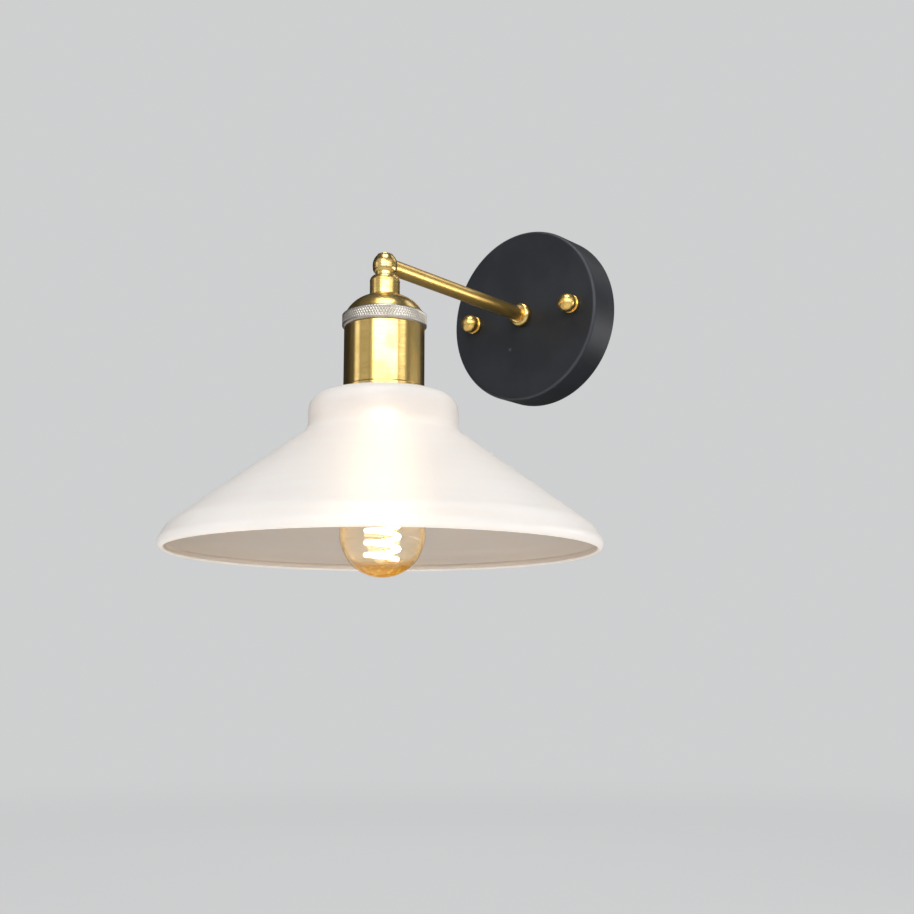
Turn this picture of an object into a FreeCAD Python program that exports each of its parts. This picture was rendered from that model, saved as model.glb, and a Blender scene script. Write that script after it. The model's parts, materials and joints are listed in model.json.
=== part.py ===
import FreeCAD, Part
import Sketcher
import math
import os

# Glass wall sconce. The frame's origin lies on the wall, at the axis of the arm.
# +X points right for someone facing the wall, +Y points into it and +Z points up.
# The arm runs along -Y, and the lamp hangs under its end on a vertical axis.

document = FreeCAD.newDocument("GlassWallSconce")
sheet = document.addObject("Spreadsheet::Sheet", "Sizes")

drivingSizes = {
    # shared clearances and fixings
    "run_gap": 0.3,
    "cut_over": 1.0,
    "stud_radius": 2.0,
    "small_round": 0.5,
    # backplate
    "plate_radius": 50.0,
    "plate_depth": 20.0,
    "plate_wall": 1.5,
    "plate_round": 2.0,
    "hole_gap": 0.3,
    # mounting strap
    "strap_gap": 6.5,
    "strap_round": 2.0,
    "strap_height": 18.0,
    "strap_thick": 2.0,
    "tab_width": 24.0,
    "tab_bottom": 34.0,
    "cable_hole_radius": 6.0,
    "slot_spacing": 40.0,
    "slot_length": 12.0,
    "slot_width": 4.5,
    # studs and nuts
    "stud_inset": 7.3,
    "stud_back": 0.2,
    "stud_reach": 27.2,
    "lock_nut_flat": 7.0,
    "lock_nut_height": 3.2,
    "cap_flange_radius": 5.2,
    "cap_flange_height": 2.2,
    "cap_neck_radius": 4.5,
    "cap_neck_height": 0.3,
    "cap_ball_radius": 5.2,
    "cap_nut_height": 10.1,
    "cap_bore_wall": 2.2,
    # terminal block and earth
    "block_width": 22.0,
    "block_height": 14.0,
    "block_depth": 12.0,
    "block_top": 17.0,
    "pole_spacing": 14.0,
    "well_radius": 1.9,
    "well_depth": 4.0,
    "pole_screw_radius": 1.6,
    "pole_screw_length": 3.6,
    "fix_screw_radius": 1.5,
    "fix_head_radius": 2.8,
    "fix_head_height": 1.8,
    "earth_inset": 14.5,
    "earth_head_radius": 3.4,
    "earth_head_height": 2.4,
    "earth_drop": 5.5,
    # arm
    "lamp_reach": 138.5,
    "arm_radius": 4.1,
    "arm_bore": 3.1,
    "arm_start": 10.5,
    "arm_seat": 4.6,
    "passage_radius": 2.8,
    "ball_hollow_top": 3.8,
    "collar_radius": 6.9,
    "collar_height": 4.6,
    "collar_round": 2.4,
    "arm_washer_radius": 8.0,
    "arm_washer_thick": 1.0,
    "arm_nut_flat": 13.0,
    "arm_nut_height": 4.0,
    # ball connector and swivel
    "ball_top": 5.4,
    "ball_top_radius": 4.0,
    "ball_radius": 6.25,
    "ball_waist": 1.6,
    "ball_bottom": 4.2,
    "ball_foot_radius": 5.45,
    "neck_radius": 4.9,
    "neck_bottom": 6.1,
    "stem_radius": 4.0,
    "stem_bottom": 16.0,
    "coupler_radius": 7.6,
    "coupler_crown_radius": 6.2,
    "coupler_round_drop": 3.4,
    "coupler_floor": 3.2,
    "coupler_cavity": 6.6,
    "coupler_bottom": 23.2,
    "friction_thick": 1.6,
    "friction_radius": 6.3,
    "swivel_nut_radius": 6.0,
    "swivel_nut_height": 3.8,
    "coupler_nut_radius": 10.4,
    "coupler_nut_height": 3.0,
    # lamp holder
    "cap_top": 16.4,
    "cap_shoulder_radius": 8.2,
    "cap_shoulder_drop": 0.6,
    "cap_side_radius": 19.8,
    "cap_side_top": 26.4,
    "cap_land": 19.6,
    "cap_wall": 1.0,
    "ring_radius": 21.4,
    "ring_top_radius": 20.2,
    "ring_bottom": 33.6,
    "ring_chamfer": 0.9,
    "ring_wall": 2.2,
    "shell_radius": 20.3,
    "shell_wall": 1.0,
    "shell_neck_top": 28.4,
    "shell_bottom": 67.7,
    "bead_height": 3.4,
    "bead_proud": 0.6,
    "porcelain_disc": 4.8,
    "porcelain_bottom": 68.0,
    "porcelain_gap": 0.2,
    "socket_floor": 43.0,
    "screw_shell_wall": 0.5,
    "screw_shell_top": 46.0,
    "tongue_width": 5.0,
    "tongue_length": 16.0,
    "tongue_thick": 0.6,
    "terminal_place": 10.0,
    "terminal_width": 6.0,
    "terminal_depth": 7.0,
    "terminal_height": 6.0,
    "terminal_screw_radius": 1.5,
    "terminal_screw_rise": 1.2,
    # shade fitting
    "sleeve_gap": 0.9,
    "sleeve_wall": 1.4,
    "sleeve_flange": 1.5,
    "sleeve_bottom": 79.6,
    "washer_thick": 0.6,
    "shade_hole_gap": 0.7,
    "shade_ring_radius": 25.0,
    "shade_ring_height": 6.0,
    "shade_ring_chamfer": 1.2,
    "shade_washer_radius": 24.0,
    # glass shade
    "glass_wall": 3.0,
    "shade_neck_radius": 37.5,
    "shade_neck_round": 8.8,
    "shade_neck_bottom": 87.1,
    "shade_neck_fillet": 4.0,
    "kink_radius": 104.2,
    "kink_drop": 136.1,
    "kink_round": 3.0,
    "shade_radius": 107.9,
    "shade_bottom": 147.0,
    "lip_height": 5.0,
    # bulb
    "bulb_radius": 21.2,
    "bulb_bottom": 159.2,
    "bulb_glass_wall": 0.8,
    "bulb_full_top": 91.0,
    "bulb_mouth_radius": 12.0,
    "bulb_mouth_depth": 4.0,
    "bulb_cap_radius": 13.2,
    "bulb_cap_wall": 0.5,
    "bulb_cap_length": 24.4,
    "bulb_cap_taper": 1.8,
    "insulator_height": 1.9,
    "insulator_radius": 10.6,
    "tip_radius": 4.5,
    "tip_height": 1.0,
    "stem_glass_radius": 3.6,
    "stem_glass_bottom": 84.0,
    "stem_flare_height": 2.0,
    "filament_radius": 8.0,
    "filament_pitch": 6.0,
    "filament_top": 90.5,
    "filament_tube": 1.1,
    "lead_tube": 0.5,
    "lead_spread": 2.2,
    "lead_side": 5.6,
    "lead_last_run": 3.0,
    # wires
    "wire_radius": 0.8,
    "wire_spread": 1.25,
    "wire_back": 6.5,
    "wire_rise": 6.0,
    "wire_bend": 6.0,
    "wire_small_bend": 2.6,
    "wire_elbow": 3.9,
    "terminal_entry": 3.4,
}
filamentTurns = 10

# an arc's middle, as shares of its corner's radius and of the lines beside it
roundMidShare = 1 - math.sqrt(0.5)

for row, (name, number) in enumerate(drivingSizes.items(), start=1):
    sheet.set(f"A{row}", name)
    sheet.set(f"B{row}", str(number))
    sheet.setAlias(f"B{row}", name)
document.recompute()


# A length that knows both its number and the words that bind it to the sheet.
class Length:
    def __init__(self, value, text):
        self.value = value
        self.text = text

    def __add__(self, other):
        other = asLength(other)
        return Length(self.value + other.value, f"({self.text} + {other.text})")

    def __radd__(self, other):
        return asLength(other) + self

    def __sub__(self, other):
        other = asLength(other)
        return Length(self.value - other.value, f"({self.text} - {other.text})")

    def __rsub__(self, other):
        return asLength(other) - self

    def __mul__(self, share):
        return Length(self.value * share, f"({self.text} * {share:.9f})")

    def __rmul__(self, share):
        return self * share

    def __truediv__(self, share):
        return self * (1 / share)

    def __neg__(self):
        return Length(-self.value, f"(-1 * {self.text})")


def asLength(number):
    if isinstance(number, Length):
        return number
    return Length(float(number), f"{float(number):.9f}")


def size(name):
    return Length(float(sheet.get(name)), f"Sizes.{name}")


zero = asLength(0)
runGap = size("run_gap")
cutOver = size("cut_over")
kept = {}


def keep(item, label):
    item.Label = label
    kept[label] = item
    return item


def bind(item, prop, length):
    item.setExpression(prop, length.text)


# Where a piece stands. Lamp pieces share the vertical axis at the arm's end.
# Wall pieces have their own z pointing out of the wall and their y pointing up.
lampAxis = size("lamp_reach")
wallTurn = FreeCAD.Rotation(FreeCAD.Vector(1, 0, 0), 90)


def placeAt(item, x, y, z, rotation=FreeCAD.Rotation()):
    item.Placement = FreeCAD.Placement(FreeCAD.Vector(x.value, y.value, z.value), rotation)
    bind(item, "Placement.Base.x", x)
    bind(item, "Placement.Base.y", y)
    bind(item, "Placement.Base.z", z)
    return item


def atLamp(item, x=zero, y=zero, z=zero):
    return placeAt(item, x, y - lampAxis, z)


def atWall(item, x=zero, up=zero, out=zero):
    return placeAt(item, x, -out, up, wallTurn)


def bodyPlane(body, role):
    return [plane for plane in body.Origin.OriginFeatures if plane.Role == role][0]


def samePoint(first, second):
    return math.dist((first.x, first.y), (second.x, second.y)) < 1e-6


# An outline is a list of corners (x, y), corners with a round (x, y, radius), and
# middles ("via", x, y) that turn the stretch between their neighbours into an arc.
def spelledOut(outline):
    steps = []
    corners = [item for item in outline if item[0] != "via"]
    for item in outline:
        if item[0] == "via" or len(item) == 2:
            steps.append(item)
            continue
        x, y, radius = item
        here = corners.index(item)
        before = corners[here - 1]
        after = corners[(here + 1) % len(corners)]
        ends = []
        for other in (before, after):
            across = other[0].value - x.value
            along = other[1].value - y.value
            if abs(across) > abs(along):
                ends.append((math.copysign(1, across), 0))
            else:
                ends.append((0, math.copysign(1, along)))
        (firstX, firstY), (lastX, lastY) = ends
        steps.append((x + radius * firstX, y + radius * firstY))
        middleX = x + radius * ((firstX + lastX) * roundMidShare)
        middleY = y + radius * ((firstY + lastY) * roundMidShare)
        steps.append(("via", middleX, middleY))
        steps.append((x + radius * lastX, y + radius * lastY))
    return steps


def drawOutline(sketch, outline):
    steps = spelledOut(outline)
    corners = [item for item in steps if item[0] != "via"]
    middles = {}
    seen = 0
    for item in steps:
        if item[0] == "via":
            middles[seen - 1] = item[1:]
        else:
            seen += 1
    vectors = [FreeCAD.Vector(x.value, y.value, 0) for x, y in corners]
    starts = []
    for index, start in enumerate(vectors):
        end = vectors[(index + 1) % len(vectors)]
        if index in middles:
            middle = FreeCAD.Vector(middles[index][0].value, middles[index][1].value, 0)
            edge = sketch.addGeometry(Part.Arc(start, middle, end))
        else:
            edge = sketch.addGeometry(Part.LineSegment(start, end))
        first = 1 if samePoint(sketch.getPoint(edge, 1), start) else 2
        starts.append((edge, first, 3 - first))
    for index, (edge, first, last) in enumerate(starts):
        following = starts[(index + 1) % len(starts)]
        sketch.addConstraint(Sketcher.Constraint("Coincident", edge, last, following[0], following[1]))
    for index, (edge, first, last) in enumerate(starts):
        fixPoint(sketch, edge, first, *corners[index])
    for index, (x, y) in middles.items():
        point = sketch.addGeometry(Part.Point(FreeCAD.Vector(x.value, y.value, 0)), True)
        fixPoint(sketch, point, 1, x, y)
        sketch.addConstraint(Sketcher.Constraint("PointOnObject", point, 1, starts[index][0]))


def fixPoint(sketch, edge, end, x, y):
    for kind, length in (("DistanceX", x), ("DistanceY", y)):
        limit = Sketcher.Constraint(kind, -1, 1, edge, end, length.value)
        number = sketch.addConstraint(limit)
        sketch.setExpression(f"Constraints[{number}]", length.text)


def sketchOn(body, name, role, offset=None):
    sketch = body.newObject("Sketcher::SketchObject", f"{name}_sketch")
    sketch.AttachmentSupport = [(bodyPlane(body, role), "")]
    sketch.MapMode = "FlatFace"
    if offset is not None:
        sketch.AttachmentOffset = FreeCAD.Placement(FreeCAD.Vector(0, 0, offset.value), FreeCAD.Rotation())
        sketch.setExpression("AttachmentOffset.Base.z", offset.text)
    return sketch


# A piece turned on a lathe: its half section is drawn beside its own z axis.
def turned(name, outline):
    body = document.addObject("PartDesign::Body", name)
    sketch = sketchOn(body, name, "XZ_Plane")
    drawOutline(sketch, outline)
    spin = body.newObject("PartDesign::Revolution", f"{name}_turn")
    spin.Profile = sketch
    spin.ReferenceAxis = (sketch, ["V_Axis"])
    spin.Angle = 360
    return body


# A flat piece: an outline padded along its own z axis.
def flat(name, outline, start, thick):
    body = document.addObject("PartDesign::Body", name)
    sketch = sketchOn(body, name, "XY_Plane", start)
    drawOutline(sketch, outline)
    pad = body.newObject("PartDesign::Pad", f"{name}_pad")
    pad.Profile = sketch
    pad.Length = thick.value
    bind(pad, "Length", thick)
    return body


def rod(name, radius, length):
    item = document.addObject("Part::Cylinder", name)
    bind(item, "Radius", radius)
    bind(item, "Height", length)
    return item


def block(name, width, depth, height):
    item = document.addObject("Part::Box", name)
    bind(item, "Length", width)
    bind(item, "Width", depth)
    bind(item, "Height", height)
    return item


def hexagon(name, flatWidth, height):
    item = document.addObject("Part::Prism", name)
    item.Polygon = 6
    bind(item, "Circumradius", flatWidth / math.sqrt(3))
    bind(item, "Height", height)
    return item


def cut(name, base, tools):
    result = base
    for number, tool in enumerate(tools):
        step = document.addObject("Part::Cut", f"{name}_cut{number}")
        step.Base = result
        step.Tool = tool
        result = step
    return result


def together(name, items):
    group = document.addObject("Part::Compound", name)
    group.Links = items
    return group


def fused(name, items):
    joined = document.addObject("Part::MultiFuse", name)
    joined.Shapes = items
    return joined


def ringOutline(inner, outer, low, high):
    return [(inner, low), (outer, low), (outer, high), (inner, high)]


# A round path: straight runs joined by tangent arcs that fit the corners.
def pathThrough(points, radii):
    edges = []
    start = points[0]
    for before, corner, after, radius in zip(points, points[1:], points[2:], radii):
        back = (before - corner).normalize()
        onward = (after - corner).normalize()
        turn = math.pi - back.getAngle(onward)
        reach = radius * math.tan(turn / 2)
        entry = corner + back * reach
        leave = corner + onward * reach
        inward = (back + onward).normalize()
        middle = corner + inward * (radius / math.cos(turn / 2) - radius)
        edges.append(Part.LineSegment(start, entry).toShape())
        edges.append(Part.Arc(entry, middle, leave).toShape())
        start = leave
    edges.append(Part.LineSegment(start, points[-1]).toShape())
    return Part.Wire(edges)


# Two arcs that join two points of a curve, each tangent to it at its own end.
def biarc(start, startWay, end, endWay):
    gap = end - start
    ways = startWay + endWay
    square = ways.dot(ways) - 4
    cross = gap.dot(ways)
    reach = (cross - math.sqrt(cross * cross - square * gap.dot(gap))) / square
    first = start + startWay * reach
    second = end - endWay * reach
    middle = (first + second) / 2
    arcs = []
    for low, peak, high in ((start, first, middle), (middle, second, end)):
        chord = (low + high) / 2
        rise = peak - chord
        half = (high - low).Length / 2
        sag = half * math.tan(math.atan2(rise.Length, half) / 2)
        arcs.append(Part.Arc(low, chord + rise.normalize() * sag, high).toShape())
    return arcs


def tubeAlong(path, radius):
    first = path.OrderedEdges[0]
    way = first.tangentAt(first.FirstParameter)
    section = Part.Wire([Part.Circle(first.valueAt(first.FirstParameter), way, radius).toShape()])
    shell = Part.BRepOffsetAPI.MakePipeShell(path)
    shell.add(section, False, False)
    shell.build()
    shell.makeSolid()
    return shell.shape()


def swept(name, shape):
    item = document.addObject("Part::Feature", name)
    item.Shape = shape
    return item


# Backplate: a shallow round cup whose open side lies on the wall.
plateRadius = size("plate_radius")
plateDepth = size("plate_depth")
plateWall = size("plate_wall")
plateRound = size("plate_round")
studRadius = size("stud_radius")
strapReach = plateRadius - plateWall - size("strap_gap")
studPlace = strapReach - size("stud_inset")
holeGap = size("hole_gap")
armRadius = size("arm_radius")
sides = (-1, 1)


def makeBackplate():
    cup = turned("backplate_cup", [
        (zero, plateDepth),
        (plateRadius, plateDepth, plateRound),
        (plateRadius, zero),
        (plateRadius - plateWall, zero),
        (plateRadius - plateWall, plateDepth - plateWall, plateRound - plateWall / 2),
        (zero, plateDepth - plateWall),
    ])
    atWall(cup)
    deep = plateWall + cutOver * 2
    start = plateDepth - plateWall - cutOver
    holes = [atWall(rod("backplate_arm_hole", armRadius + holeGap, deep), out=start)]
    for side in sides:
        hole = rod(f"backplate_stud_hole{side + 1}", studRadius + holeGap, deep)
        holes.append(atWall(hole, x=studPlace * side, out=start))
    keep(cut("backplate", cup, holes), "backplate")


# Mounting strap: screwed to the wall through its slots, it carries everything else.
strapThick = size("strap_thick")
strapHalf = size("strap_height") / 2
tabHalf = size("tab_width") / 2
tabBottom = size("tab_bottom")
slotPlace = size("slot_spacing") / 2
slotHalf = size("slot_length") / 2
slotRadius = size("slot_width") / 2
earthPlace = strapReach - size("earth_inset")
fixScrewRadius = size("fix_screw_radius")
blockTop = size("block_top")
blockHeight = size("block_height")
blockMiddle = -blockTop - blockHeight / 2


def makeStrap():
    length = strapReach
    corner = size("strap_round")
    bar = flat("strap_bar", [
        (-length, strapHalf, corner),
        (length, strapHalf, corner),
        (length, -strapHalf, corner),
        (tabHalf, -strapHalf),
        (tabHalf, -tabBottom, corner),
        (-tabHalf, -tabBottom, corner),
        (-tabHalf, -strapHalf),
        (-length, -strapHalf, corner),
    ], zero, strapThick)
    atWall(bar)
    deep = strapThick + cutOver * 2
    tools = [atWall(rod("strap_cable_hole", size("cable_hole_radius"), deep), out=-cutOver)]
    for side in sides:
        stud = rod(f"strap_stud_hole{side + 1}", studRadius, deep)
        tools.append(atWall(stud, x=studPlace * side, out=-cutOver))
        slot = flat(f"strap_slot{side + 1}", [
            (slotRadius - slotHalf, slotRadius),
            (slotHalf - slotRadius, slotRadius),
            ("via", slotHalf, zero),
            (slotHalf - slotRadius, -slotRadius),
            (slotRadius - slotHalf, -slotRadius),
            ("via", -slotHalf, zero),
        ], -cutOver, deep)
        tools.append(atWall(slot, x=slotPlace * side))
    fix = rod("strap_fix_hole", fixScrewRadius, deep)
    tools.append(atWall(fix, up=blockMiddle, out=-cutOver))
    earth = rod("strap_earth_hole", fixScrewRadius, deep)
    tools.append(atWall(earth, x=earthPlace, up=-size("earth_drop"), out=-cutOver))
    keep(cut("mounting_strap", bar, tools), "mounting_strap")


# Studs, their lock nuts on the strap, and the polished ball nuts on the plate.
studBack = size("stud_back")
studReach = size("stud_reach")


def makeStuds():
    studs, nuts, caps = [], [], []
    for side in sides:
        x = studPlace * side
        stud = rod(f"stud{side + 1}", studRadius, studReach - studBack)
        studs.append(atWall(stud, x=x, out=studBack))
        nutHeight = size("lock_nut_height")
        nut = hexagon(f"lock_nut{side + 1}", size("lock_nut_flat"), nutHeight)
        atWall(nut, x=x, out=strapThick)
        bore = rod(f"lock_nut_bore{side + 1}", studRadius, nutHeight + cutOver * 2)
        atWall(bore, x=x, out=strapThick - cutOver)
        nuts.append(cut(f"lock_nut_cut{side + 1}", nut, [bore]))
        caps.append(atWall(turned(f"cap_nut{side + 1}", capNutOutline()), x=x))
    keep(together("stud_screws", studs), "stud_screws")
    keep(together("stud_lock_nuts", nuts), "stud_lock_nuts")
    keep(together("ball_cap_nuts", caps), "ball_cap_nuts")


def capNutOutline():
    foot = plateDepth
    flangeTop = foot + size("cap_flange_height")
    neckTop = flangeTop + size("cap_neck_height")
    neck = size("cap_neck_radius")
    top = foot + size("cap_nut_height")
    ball = size("cap_ball_radius")
    middle = top - ball
    boreEnd = top - size("cap_bore_wall")
    half = math.sqrt(0.5)
    return [
        (studRadius, foot),
        (size("cap_flange_radius"), foot, size("small_round")),
        (size("cap_flange_radius"), flangeTop, size("small_round")),
        (neck, flangeTop),
        (neck, neckTop),
        ("via", ball, middle),
        (ball * half, middle + ball * half),
        ("via", ball * math.sin(math.pi / 8), middle + ball * math.cos(math.pi / 8)),
        (zero, top),
        (zero, boreEnd),
        (studRadius, boreEnd),
    ]


# Terminal block on the strap's tab, with its two pole screws and its fixing screw.
blockDepth = size("block_depth")
polePlace = size("pole_spacing") / 2
wellDepth = size("well_depth")
blockFront = strapThick + blockDepth


def makeTerminalBlock():
    width = size("block_width")
    base = block("block_base", width, blockHeight, blockDepth)
    atWall(base, x=-width / 2, up=-blockTop - blockHeight, out=strapThick)
    tools = [atWall(rod("block_fix_hole", fixScrewRadius, blockDepth + cutOver * 2),
                    up=blockMiddle, out=strapThick - cutOver)]
    sink = rod("block_fix_sink", size("fix_head_radius"), size("fix_head_height") + cutOver)
    tools.append(atWall(sink, up=blockMiddle, out=blockFront - size("fix_head_height")))
    screws = []
    for side in sides:
        well = rod(f"block_well{side + 1}", size("well_radius"), wellDepth + cutOver)
        tools.append(atWall(well, x=polePlace * side, up=blockMiddle, out=blockFront - wellDepth))
        screw = rod(f"pole_screw{side + 1}", size("pole_screw_radius"), size("pole_screw_length"))
        screws.append(atWall(screw, x=polePlace * side, up=blockMiddle, out=blockFront - wellDepth))
    keep(cut("terminal_block", base, tools), "terminal_block")
    keep(together("terminal_screws", screws), "terminal_screws")
    headStart = blockFront - size("fix_head_height")
    shank = atWall(rod("fix_shank", fixScrewRadius, headStart), up=blockMiddle, out=zero)
    head = rod("fix_head", size("fix_head_radius"), size("fix_head_height"))
    atWall(head, up=blockMiddle, out=headStart)
    keep(fused("terminal_block_screw", [shank, head]), "terminal_block_screw")
    shank = atWall(rod("earth_shank", fixScrewRadius, strapThick), x=earthPlace, up=-size("earth_drop"))
    head = rod("earth_head", size("earth_head_radius"), size("earth_head_height"))
    atWall(head, x=earthPlace, up=-size("earth_drop"), out=strapThick)
    keep(fused("earth_screw", [shank, head]), "earth_screw")


# Arm: one straight tube, nutted behind the plate and seated in the ball.
armBore = size("arm_bore")
armStart = size("arm_start")
armSeat = size("arm_seat")
washerThick = size("arm_washer_thick")
plateInside = plateDepth - plateWall


def makeArm():
    armEnd = lampAxis - armSeat
    keep(atWall(turned("arm_tube", ringOutline(armBore, armRadius, armStart, armEnd))), "arm_tube")
    collarTop = plateDepth + size("collar_height")
    collarRound = size("collar_round")
    collar = turned("arm_collar", [
        (armRadius, plateDepth),
        (size("collar_radius"), plateDepth, size("small_round")),
        (size("collar_radius"), collarTop, collarRound),
        (armRadius, collarTop),
    ])
    keep(atWall(collar), "arm_collar")
    washerBack = plateInside - washerThick
    washer = turned("arm_washer", ringOutline(armRadius, size("arm_washer_radius"), washerBack, plateInside))
    keep(atWall(washer), "arm_washer")
    nutHeight = size("arm_nut_height")
    nut = hexagon("arm_nut_blank", size("arm_nut_flat"), nutHeight)
    atWall(nut, out=washerBack - nutHeight)
    bore = rod("arm_nut_bore", armRadius, nutHeight + cutOver * 2)
    atWall(bore, out=washerBack - nutHeight - cutOver)
    keep(cut("arm_nut", nut, [bore]), "arm_nut")


# Ball connector: a small pear under whose foot the lamp head turns on a hollow stem.
ballTop = size("ball_top")
ballBottom = size("ball_bottom")
neckBottom = size("neck_bottom")
stemRadius = size("stem_radius")
stemBottom = size("stem_bottom")
wireBore = armBore


def makeBall():
    ballRadius = size("ball_radius")
    topRadius = size("ball_top_radius")
    footRadius = size("ball_foot_radius")
    waist = -size("ball_waist")
    edge = size("small_round")
    sideOutShare, sideUpShare = 0.83, 0.53
    heelOutShare, heelDownShare = 0.72, 0.60
    side = ballRadius - topRadius
    heel = ballRadius - footRadius
    ball = turned("ball_turned", [
        (zero, ballTop),
        (topRadius - edge, ballTop),
        ("via", topRadius - edge * roundMidShare, ballTop - edge * roundMidShare),
        (topRadius, ballTop - edge),
        ("via", topRadius + side * sideOutShare, waist + (ballTop - waist) * sideUpShare),
        (ballRadius, waist),
        ("via", footRadius + heel * heelOutShare, waist - (ballBottom + waist) * heelDownShare),
        (footRadius, -ballBottom),
        (size("neck_radius"), -ballBottom),
        (size("neck_radius"), -neckBottom),
        (stemRadius, -neckBottom),
        (stemRadius, -stemBottom),
        (wireBore, -stemBottom),
        (wireBore, size("ball_hollow_top")),
        (zero, size("ball_hollow_top")),
    ])
    atLamp(ball)
    seat = rod("ball_seat", armRadius, armSeat * 2)
    atWall(seat, out=lampAxis - armSeat * 3)
    passage = rod("ball_passage", size("passage_radius"), armSeat + cutOver)
    atWall(passage, out=lampAxis - armSeat - cutOver)
    keep(cut("ball_connector", ball, [seat, passage]), "ball_connector")


# Swivel: the coupler turns on the stem and hangs on a friction washer and its nut.
couplerTop = neckBottom + runGap
couplerFloor = couplerTop + size("coupler_floor")
couplerRadius = size("coupler_radius")
couplerBottom = size("coupler_bottom")
frictionBottom = couplerFloor + size("friction_thick")
swivelNutTop = frictionBottom + runGap
swivelNutHeight = size("swivel_nut_height")
capLand = size("cap_land")


def makeSwivel():
    crown = size("coupler_crown_radius")
    drop = size("coupler_round_drop")
    cavity = size("coupler_cavity")
    hole = stemRadius + runGap
    roundShares = (0.70, 0.30)
    coupler = turned("swivel_coupler", [
        (hole, -couplerTop),
        (crown, -couplerTop),
        ("via", crown + (couplerRadius - crown) * roundShares[0], -couplerTop - drop * roundShares[1]),
        (couplerRadius, -couplerTop - drop),
        (couplerRadius, -couplerBottom),
        (cavity, -couplerBottom),
        (cavity, -couplerFloor),
        (hole, -couplerFloor),
    ])
    keep(atLamp(coupler), "swivel_coupler")
    washerOutline = ringOutline(hole, size("friction_radius"), -frictionBottom, -couplerFloor)
    keep(atLamp(turned("swivel_washer", washerOutline)), "swivel_washer")
    nutRadius = size("swivel_nut_radius")
    nutOutline = ringOutline(stemRadius, nutRadius, -swivelNutTop - swivelNutHeight, -swivelNutTop)
    keep(atLamp(turned("swivel_nut", nutOutline)), "swivel_nut")
    nutLow = -capLand - size("coupler_nut_height")
    lockOutline = ringOutline(couplerRadius, size("coupler_nut_radius"), nutLow, -capLand)
    keep(atLamp(turned("coupler_nut", lockOutline)), "coupler_nut")


# Lamp holder: domed cap, knurled clamping ring and straight shell.
capWall = size("cap_wall")
capSide = size("cap_side_radius")
capSideTop = size("cap_side_top")
ringBottom = size("ring_bottom")
ringRadius = size("ring_radius")
ringInner = ringRadius - size("ring_wall")
shellRadius = size("shell_radius")
shellWall = size("shell_wall")
shellInner = shellRadius - shellWall
skirtInner = ringInner - capWall
shellBottom = size("shell_bottom")


def makeHolder():
    shoulder = size("cap_shoulder_radius")
    shoulderDrop = size("cap_top") + size("cap_shoulder_drop")
    midShares = (0.52, 0.29)
    spanX = capSide - shoulder
    spanZ = capSideTop - shoulderDrop
    landRadius = size("coupler_nut_radius") + size("small_round")
    cap = turned("holder_cap", [
        (couplerRadius, -size("cap_top")),
        (shoulder, -shoulderDrop),
        ("via", shoulder + spanX * midShares[0], -shoulderDrop - spanZ * midShares[1]),
        (capSide, -capSideTop),
        (ringInner, -capSideTop),
        (ringInner, -ringBottom),
        (skirtInner, -ringBottom),
        (skirtInner, -capSideTop - capWall),
        (landRadius, -capLand),
        (couplerRadius, -capLand),
    ])
    keep(atLamp(cap), "holder_cap")
    chamfer = size("ring_chamfer")
    ring = turned("knurled_ring", [
        (ringInner, -capSideTop),
        (size("ring_top_radius"), -capSideTop),
        (ringRadius, -capSideTop - chamfer),
        (ringRadius, -ringBottom + chamfer),
        (size("ring_top_radius"), -ringBottom),
        (ringInner, -ringBottom),
    ])
    keep(atLamp(ring), "knurled_ring")
    bead = size("bead_proud")
    beadTop = shellBottom - size("bead_height")
    shell = turned("holder_shell", [
        (skirtInner, -size("shell_neck_top")),
        (skirtInner, -ringBottom),
        (shellRadius, -ringBottom, size("small_round")),
        (shellRadius, -beadTop),
        (shellRadius + bead, -beadTop - bead),
        (shellRadius + bead, -shellBottom),
        (shellInner, -shellBottom),
        (shellInner, -ringBottom - shellWall),
        (skirtInner - shellWall, -ringBottom - shellWall),
        (skirtInner - shellWall, -size("shell_neck_top")),
    ])
    keep(atLamp(shell), "holder_shell")


# Porcelain insert with the threaded brass shell, the tongue and two wire terminals.
porcelainTop = ringBottom + shellWall
porcelainBase = porcelainTop + size("porcelain_disc")
porcelainBottom = size("porcelain_bottom")
sleeveInner = shellInner - size("sleeve_gap") - size("sleeve_wall")
porcelainRadius = sleeveInner - size("porcelain_gap")
bulbCapRadius = size("bulb_cap_radius")
screwShellInner = bulbCapRadius + runGap
screwShellOuter = screwShellInner + size("screw_shell_wall")
screwShellTop = size("screw_shell_top")
socketFloor = size("socket_floor")
tongueThick = size("tongue_thick")
terminalPlace = size("terminal_place")
terminalHeight = size("terminal_height")


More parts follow.
